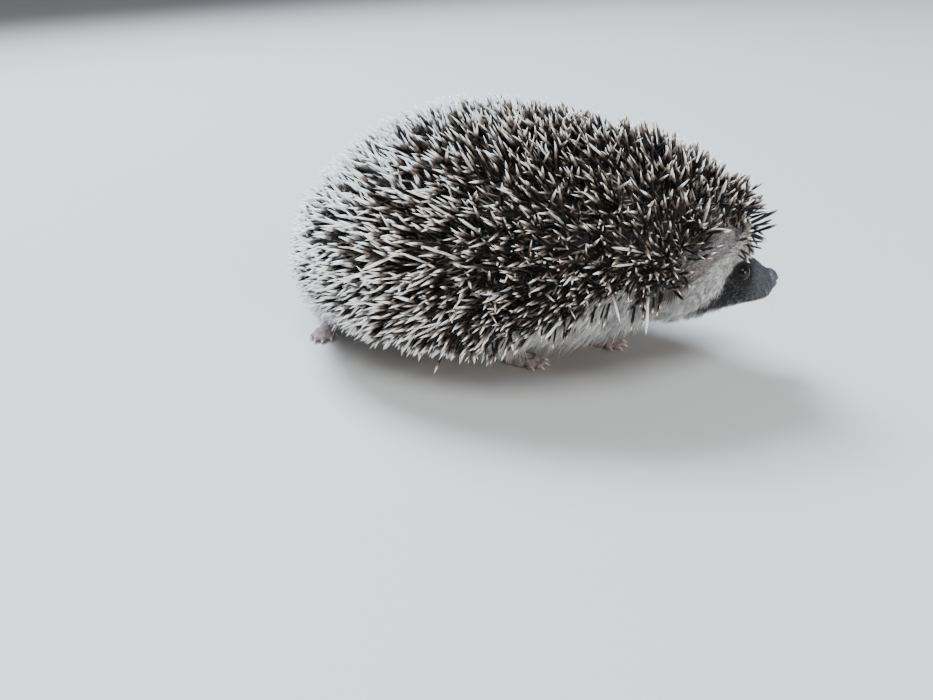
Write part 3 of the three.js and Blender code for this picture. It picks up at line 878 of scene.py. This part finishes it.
def grow_fur(ground):
    """The eight fur pieces: small tufts, gathered in locks that share their lie and shade."""
    rng = np.random.default_rng(5)
    places, facing = ground.scatter(fur_density(ground.middles), None, rng)
    count = len(places)
    many = count * HAIRS
    back, side = head_coordinates(places)[:2]
    flow, stand = fur_flow(places)
    lock = lock_of(places, rng)
    tuft_flow = unit(flow) + rng.normal(0, 0.17, (count, 3))[lock] + rng.normal(0, 0.12, (count, 3))
    tuft_stand = stand + rng.normal(0, 0.13, count)
    reach = fur_length(places)
    tuft_length = reach * rng.uniform(0.6, 1.15, count)
    wisps = (rng.random(count) < 0.14) & (back > 40) & (places[:, 2] < 30)
    tuft_length[wisps] *= 1.35
    tuft_shade = rng.uniform(0.42, 1.16, (count, 1))[lock] * rng.uniform(0.78, 1.12, (count, 1))
    tuft_shade += (1.06 - tuft_shade) * 0.5 * ramp(36, 24, back)[:, None]  # the face is more even
    outward = per_hair(facing)
    roots = per_hair(places) + rng.normal(0, 1, (many, 3)) * per_hair(0.03 + 0.03 * reach)[:, None]
    hair_stand = per_hair(tuft_stand) + rng.normal(0, 0.09, many)
    directions = aim(outward, per_hair(tuft_flow), hair_stand, np.full(many, 0.06), rng)
    lengths = per_hair(tuft_length) * rng.uniform(0.8, 1.08, many)
    radii = (0.042 + 0.010 * per_hair(reach)) * rng.uniform(0.7, 1.2, many)
    bends = -outward * (lengths * 0.10)[:, None] + rng.normal(0, 0.05, (many, 3)) * lengths[:, None]
    bends += per_hair((places[lock] - places) * 0.6 * ramp(12, 34, back)[:, None])
    fall = -(directions[:, 2] * lengths + bends[:, 2])
    short = np.where(fall > 0.01, np.clip((roots[:, 2] - 0.5) / np.maximum(fall, 0.01), 0.05, 1), 1)
    lengths, bends = lengths * short, bends * short[:, None]  # no hair goes through the floor
    colour = per_hair(marking_shade_and_sheen(places) * tuft_shade) * rng.uniform(0.88, 1.08, (many, 1))
    fleck = (rng.random(many) < 0.13) & (per_hair(back) > 5)
    colour[fleck] = colour[fleck] * 0.45 + np.array(FLECK) * 0.55
    ears = per_hair(ear_share(places)) > 0.3
    colour[ears] = np.array(EAR_HAIR) * rng.uniform(0.6, 1.25, (ears.sum(), 1))
    roots, tufts = roots - directions * HAIR_ROOT, per_hair(places)
    zone = np.select([back < 24, back < 44, places[:, 0] > 15], [0, 1, 2], 3)
    lot = per_hair(zone * 2 + (np.where(back < 44, side, places[:, 1]) > 0))
    names = [f"{side}_{part}" for part in ("face", "cheek", "chest", "flank") for side in ("right", "left")]
    grown = []
    for k, name in enumerate(names):
        own = lot == k
        grown.append(strands(
            f"{name}_fur", roots[own], directions[own], lengths[own], radii[own], bends[own],
            HAIR_PROFILE, 3, colour[own], HAIRS, tufts[own],
        ))
    return grown


def grow_whiskers():
    """Pale bristles from the upper lip."""
    rng = np.random.default_rng(3)
    roots, directions = [], []
    for side in (-1, 1):
        for k in range(11):
            back, up = rng.uniform(4.5, 10.5), rng.uniform(-1.2, 3.0)
            roots.append(on_head(back, side * np.interp(back, (4.5, 11), (3.6, 6.2)), up))
            forward, rise = rng.uniform(-0.3, 0.5), rng.uniform(-0.9, 0.1)
            directions.append(AHEAD * forward + LEFTWARD * side + UPWARD * rise)
    roots, directions = np.array(roots), unit(np.array(directions))
    count = len(roots)
    lengths = rng.uniform(8, 15, count)
    bends = -AHEAD * rng.uniform(1, 4, (count, 1)) - UPWARD * rng.uniform(0, 2.5, (count, 1))
    profile = [(share, 1 - 0.8 * share) for share in np.linspace(0, 0.9, 7)]
    tints = np.tile(WHISKER, (count, 1)) * rng.uniform(0.4, 1.1, (count, 1))
    return strands("whiskers", roots, directions, lengths, np.full(count, 0.04), bends, profile, 4, tints)


# ---- Eyes, nose and claws ----
def make_eye(side):
    """A glossy bead with a slightly swelling cornea."""
    eye = ball((0, 0, 0), (EYE["radius"],) * 3, segments=48, rings=36)
    places = coordinates(eye)
    places *= (1 + 0.04 * ramp(0.6, 1.0, places[:, 2] / EYE["radius"]))[:, None]
    axis = eye_axis(side)
    across = unit(np.cross(UPWARD, axis))
    over = np.cross(axis, across)
    set_coordinates(eye, eye_place(side) + places @ np.stack([across, over, axis]))
    eye.name = eye.data.name = ("right" if side < 0 else "left") + "_eyeball"
    return eye


NOSE = {"back": 2.0, "up": 0.7, "reach": (3.3, 3.5, 4.1)}


def make_nose():
    """The bare nose pad: blunt, cleft down the middle, with two comma-shaped nostrils."""
    pad, places = long_ball(96, 72)
    long, wide, high = NOSE["reach"]
    blunt = np.sign(places) * np.abs(places) ** 0.82
    ahead, side, up = places[:, 0] * long, blunt[:, 1] * wide, blunt[:, 2] * high
    front = ramp(-0.1, 0.5, places[:, 0])
    ahead = np.where(places[:, 0] > 0, ahead * (0.93 - 0.12 * (places[:, 1] ** 2)), ahead)
    side = side * (1 - 0.16 * ramp(0, -3.5, up))
    ahead = ahead - 0.45 * np.exp(-((side / 0.32) ** 2)) * front * ramp(2.2, 0.4, up)
    for which in (-1, 1):
        hole = np.exp(-(((side - which * 1.55) / 0.72) ** 2) - ((up + 0.1) / 0.62) ** 2)
        slit = np.exp(-(((side - which * 2.55) / 0.75) ** 2) - ((up - 0.35) / 0.34) ** 2)
        rim = np.exp(-(((side - which * 1.75) / 1.45) ** 2) - ((up - 0.1) / 1.35) ** 2)
        ahead = ahead + (0.55 * rim - 2.1 * hole - 0.9 * slit) * front
    shaped = np.outer(ahead, AHEAD) + np.outer(side, LEFTWARD) + np.outer(up, UPWARD)
    set_coordinates(pad, on_head(NOSE["back"], 0, NOSE["up"]) + shaped)
    pad.name = pad.data.name = "nose_pad"
    return pad


CLAW_PROFILE = [(0.0, 1.0), (0.2, 0.97), (0.4, 0.87), (0.6, 0.71), (0.78, 0.49), (0.92, 0.24)]
CLAW_RADIUS = 0.66


def make_claws(name):
    """The curved claws of one foot."""
    foot = FEET[name]
    roots, tips = [], []
    for k, far in enumerate(foot["kind"]["reach"]):
        roots.append(toe_point(foot, k, far * 0.86, 1.75))
        tips.append(toe_point(foot, k, far * 0.8 + 3.3, 0.5))
    roots, tips = np.array(roots), np.array(tips)
    count = len(roots)
    bends = np.tile((0.0, 0.0, -0.75), (count, 1))
    across = tips - bends - roots
    lengths, radii = np.linalg.norm(across, axis=1), np.full(count, CLAW_RADIUS)
    tints = np.ones((count, 3))
    return strands(f"{name}_claws", roots, unit(across), lengths, radii, bends, CLAW_PROFILE, 14, tints)


# ---- Materials ----
def material(name):
    made = bpy.data.materials.new(name)
    made.use_nodes = True
    return made, made.node_tree, made.node_tree.nodes["Principled BSDF"]


def node(tree, kind, **settings):
    made = tree.nodes.new(kind)
    for key, value in settings.items():
        setattr(made, key, value)
    return made


def wire(tree, made, values):
    """Gives a node's inputs numbers, colours or other nodes' outputs."""
    for name, value in values.items():
        socket = made.inputs[name]
        if isinstance(value, bpy.types.NodeSocket):
            tree.links.new(value, socket)
        else:
            socket.default_value = (*value, 1) if isinstance(value, tuple) else value
    return made.outputs


def attribute(tree, name):
    return node(tree, "ShaderNodeAttribute", attribute_name=name).outputs


def maths(tree, operation, *values):
    return wire(tree, node(tree, "ShaderNodeMath", operation=operation), dict(enumerate(values)))[0]


def stepped(tree, value, low, high):
    """0 below low and 1 above high, where either may be a number or a socket."""
    made = node(tree, "ShaderNodeMapRange", interpolation_type="SMOOTHSTEP")
    return wire(tree, made, {"Value": value, "From Min": low, "From Max": high})["Result"]


def blended(tree, share, first, second, kind="MIX"):
    made = node(tree, "ShaderNodeMix", data_type="RGBA", blend_type=kind)
    return wire(tree, made, {"Factor": share, "A": first, "B": second})["Result"]


def texture(tree, kind, scale, **settings):
    """A texture laid over the piece by its own coordinates."""
    place = node(tree, "ShaderNodeTexCoord").outputs["Object"]
    return wire(tree, node(tree, kind, **settings), {"Scale": scale, "Vector": place})


def make_grain():
    """A group that lays fine grain over a colour: dark to Least, and lighter from there by Range."""
    group = bpy.data.node_groups.new("grain", "ShaderNodeTree")
    for name, kind in (("Colour", "Color"), ("Scale", "Float"), ("Least", "Float"), ("Range", "Float")):
        group.interface.new_socket(name, in_out="INPUT", socket_type=f"NodeSocket{kind}")
    for name, kind in (("Colour", "Color"), ("Grain", "Float")):
        group.interface.new_socket(name, in_out="OUTPUT", socket_type=f"NodeSocket{kind}")
    given = node(group, "NodeGroupInput").outputs
    grain = texture(group, "ShaderNodeTexNoise", given["Scale"])["Fac"]
    shade = maths(group, "ADD", maths(group, "MULTIPLY", grain, given["Range"]), given["Least"])
    scaled = node(group, "ShaderNodeVectorMath", operation="SCALE")
    colour = wire(group, scaled, {0: given["Colour"], "Scale": shade})["Vector"]
    wire(group, node(group, "NodeGroupOutput"), {"Colour": colour, "Grain": grain})
    return group


def grained(tree, colour, scale, least, reach):
    """Places the shared grain over a colour."""
    made = node(tree, "ShaderNodeGroup", node_tree=GRAIN)
    return wire(tree, made, {"Colour": colour, "Scale": scale, "Least": least, "Range": reach})


def raised(tree, shader, height, strength, depth):
    """Raises the surface by a height, to a depth in metres."""
    values = {"Strength": strength, "Distance": depth, "Height": height}
    wire(tree, shader, {"Normal": wire(tree, node(tree, "ShaderNodeBump"), values)["Normal"]})


def quill_finish():
    """Pale root, dark band, tan shoulder and a cream tip, with faint grain."""
    made, tree, shader = material("banded_quill")
    along = attribute(tree, "along")["Fac"]
    tint = attribute(tree, "tint")["Color"]
    tip_share, warmth, shade = wire(tree, node(tree, "ShaderNodeSeparateColor"), {0: tint})
    tip_start = maths(tree, "SUBTRACT", 1.0, tip_share)
    tip = stepped(tree, along, tip_start, maths(tree, "ADD", tip_start, 0.10))
    shoulder_start = maths(tree, "SUBTRACT", tip_start, 0.11)
    shoulder = stepped(tree, along, shoulder_start, maths(tree, "SUBTRACT", tip_start, 0.02))
    band = stepped(tree, along, 0.2, 0.34)
    cream = blended(tree, warmth, (0.90, 0.90, 0.91), (0.84, 0.78, 0.68))
    dark = blended(tree, shade, (0.004, 0.004, 0.0045), (0.018, 0.0125, 0.0105))
    tan = blended(tree, warmth, (0.10, 0.083, 0.072), (0.19, 0.14, 0.102))
    root = blended(tree, warmth, (0.42, 0.36, 0.30), (0.30, 0.24, 0.19))
    colour = blended(tree, band, root, dark)
    colour = blended(tree, shoulder, colour, tan)
    colour = blended(tree, tip, colour, cream)
    colour = grained(tree, colour, 1400, 0.84, 0.36)["Colour"]
    wire(tree, shader, {"Base Color": colour, "Roughness": 0.45, "Specular IOR Level": 0.22})
    return made


def fur_finish():
    """Hair in the coat's own colours, darkened towards the root by painted shade."""
    made, tree, shader = material("hair")
    # Painted shade: the hair darkens towards its root, deep in the fur.
    depth = stepped(tree, attribute(tree, "along")["Fac"], -0.1, 0.5)
    shade = blended(tree, depth, (0.42, 0.40, 0.39), (1.12, 1.12, 1.12))
    colour = blended(tree, 1.0, attribute(tree, "tint")["Color"], shade, "MULTIPLY")
    wire(tree, shader, {"Base Color": colour, "Roughness": 0.6, "Specular IOR Level": 0.35})
    return made


def skin_finish():
    """Skin in the coat's colours under the hair, with their painted shade and sheen, and fine creases."""
    made, tree, shader = material("skin")
    grain = grained(tree, attribute(tree, "marking_shade_and_sheen")["Color"], 900, 0.65, 0.7)
    wire(tree, shader, {"Base Color": grain["Colour"], "Roughness": 0.6, "Specular IOR Level": 0.18})
    creases = texture(tree, "ShaderNodeTexVoronoi", 2300, feature="DISTANCE_TO_EDGE")["Distance"]
    raised(tree, shader, maths(tree, "ADD", stepped(tree, creases, 0.0, 0.12), grain["Grain"]), 0.35, 0.00015)
    return made


def colour_skin(thing):
    """Lays the markings, their painted shade and sheen, and the painted shade under the quills on the skin's
    vertices.
    """
    places = coordinates(thing)
    back, side, up = head_coordinates(places)
    colour = marking_shade_and_sheen(places) * 0.62
    colour = mix(colour, NOSE_SKIN, ramp(6.5, 3.5, back) * ramp(-4.8, -3.8, up))
    colour = mix(colour, EAR_SKIN, ear_share(places))
    colour = mix(colour, FOOT_SKIN, foot_share(places))
    # Painted shade: the skin under the quills is near black.
    colour = mix(colour, SHADE_UNDER_QUILLS, quilled(places).astype(float))
    full = np.concatenate([colour, np.ones((len(places), 1))], 1)
    keep_on_vertices(thing.data, "marking_shade_and_sheen", "FLOAT_COLOR", full)


def nose_finish():
    """Dark damp leather with a fine pebbled relief."""
    made, tree, shader = material("nose_leather")
    broad = texture(tree, "ShaderNodeTexNoise", 420)["Fac"]
    colour = blended(tree, broad, (0.02, 0.022, 0.027), (0.07, 0.076, 0.088))
    wire(tree, shader, {"Base Color": colour, "Roughness": 0.36})
    pebbles = texture(tree, "ShaderNodeTexVoronoi", 2600)["Distance"]
    raised(tree, shader, pebbles, 0.5, 0.00012)
    return made


def eye_finish():
    """A nearly black bead under a thin clear coat."""
    made, tree, shader = material("wet_eye")
    mottle = stepped(tree, texture(tree, "ShaderNodeTexNoise", 900)["Fac"], 0.4, 0.75)
    brown = blended(tree, mottle, (0.004, 0.003, 0.003), (0.016, 0.009, 0.006))
    wire(tree, shader, {
        "Base Color": brown, "Roughness": 0.12, "Specular IOR Level": 0.12,
        "Coat Weight": 0.2, "Coat Roughness": 0.02,
    })
    return made


def claw_finish():
    """Horn that pales towards the tip."""
    made, tree, shader = material("claw_horn")
    colour = blended(tree, attribute(tree, "along")["Fac"], (0.30, 0.21, 0.18), (0.66, 0.58, 0.5))
    colour = grained(tree, colour, 1800, 0.8, 0.4)["Colour"]
    wire(tree, shader, {"Base Color": colour, "Roughness": 0.35})
    return made


def dress(thing, look, slot, *replaced):
    """Gives a piece its finish, lets it ride on the body, and stands it in for solids."""
    thing.data.materials.clear()
    thing.data.materials.append(look)
    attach(thing, "root")
    if replaced:
        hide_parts(*replaced)


GRAIN = make_grain()
add_camera()
add_studio()
skin = make_skin()
colour_skin(skin)
dress(skin, skin_finish(), "fur", *FLESH)
ground = Ground(skin)
quill_look, hair_look = quill_finish(), fur_finish()
for coat in grow_quills(ground):
    dress(coat, quill_look, "quill")
for coat in grow_fur(ground):
    dress(coat, hair_look, "fur")
dress(grow_whiskers(), hair_look, "fur")
eye_look, claw_look = eye_finish(), claw_finish()
for side, name in ((-1, "right"), (1, "left")):
    eye = make_eye(side)
    dress(eye, eye_look, "eye", f"{name}_eye")
    smooth(eye)
nose = make_nose()
dress(nose, nose_finish(), "nose", "nose")
smooth(nose)
for name, foot in FEET.items():
    claws = range(1, len(foot["kind"]["reach"]) + 1)
    dress(make_claws(name), claw_look, "claw", *(f"{name}_claw_{k}" for k in claws))
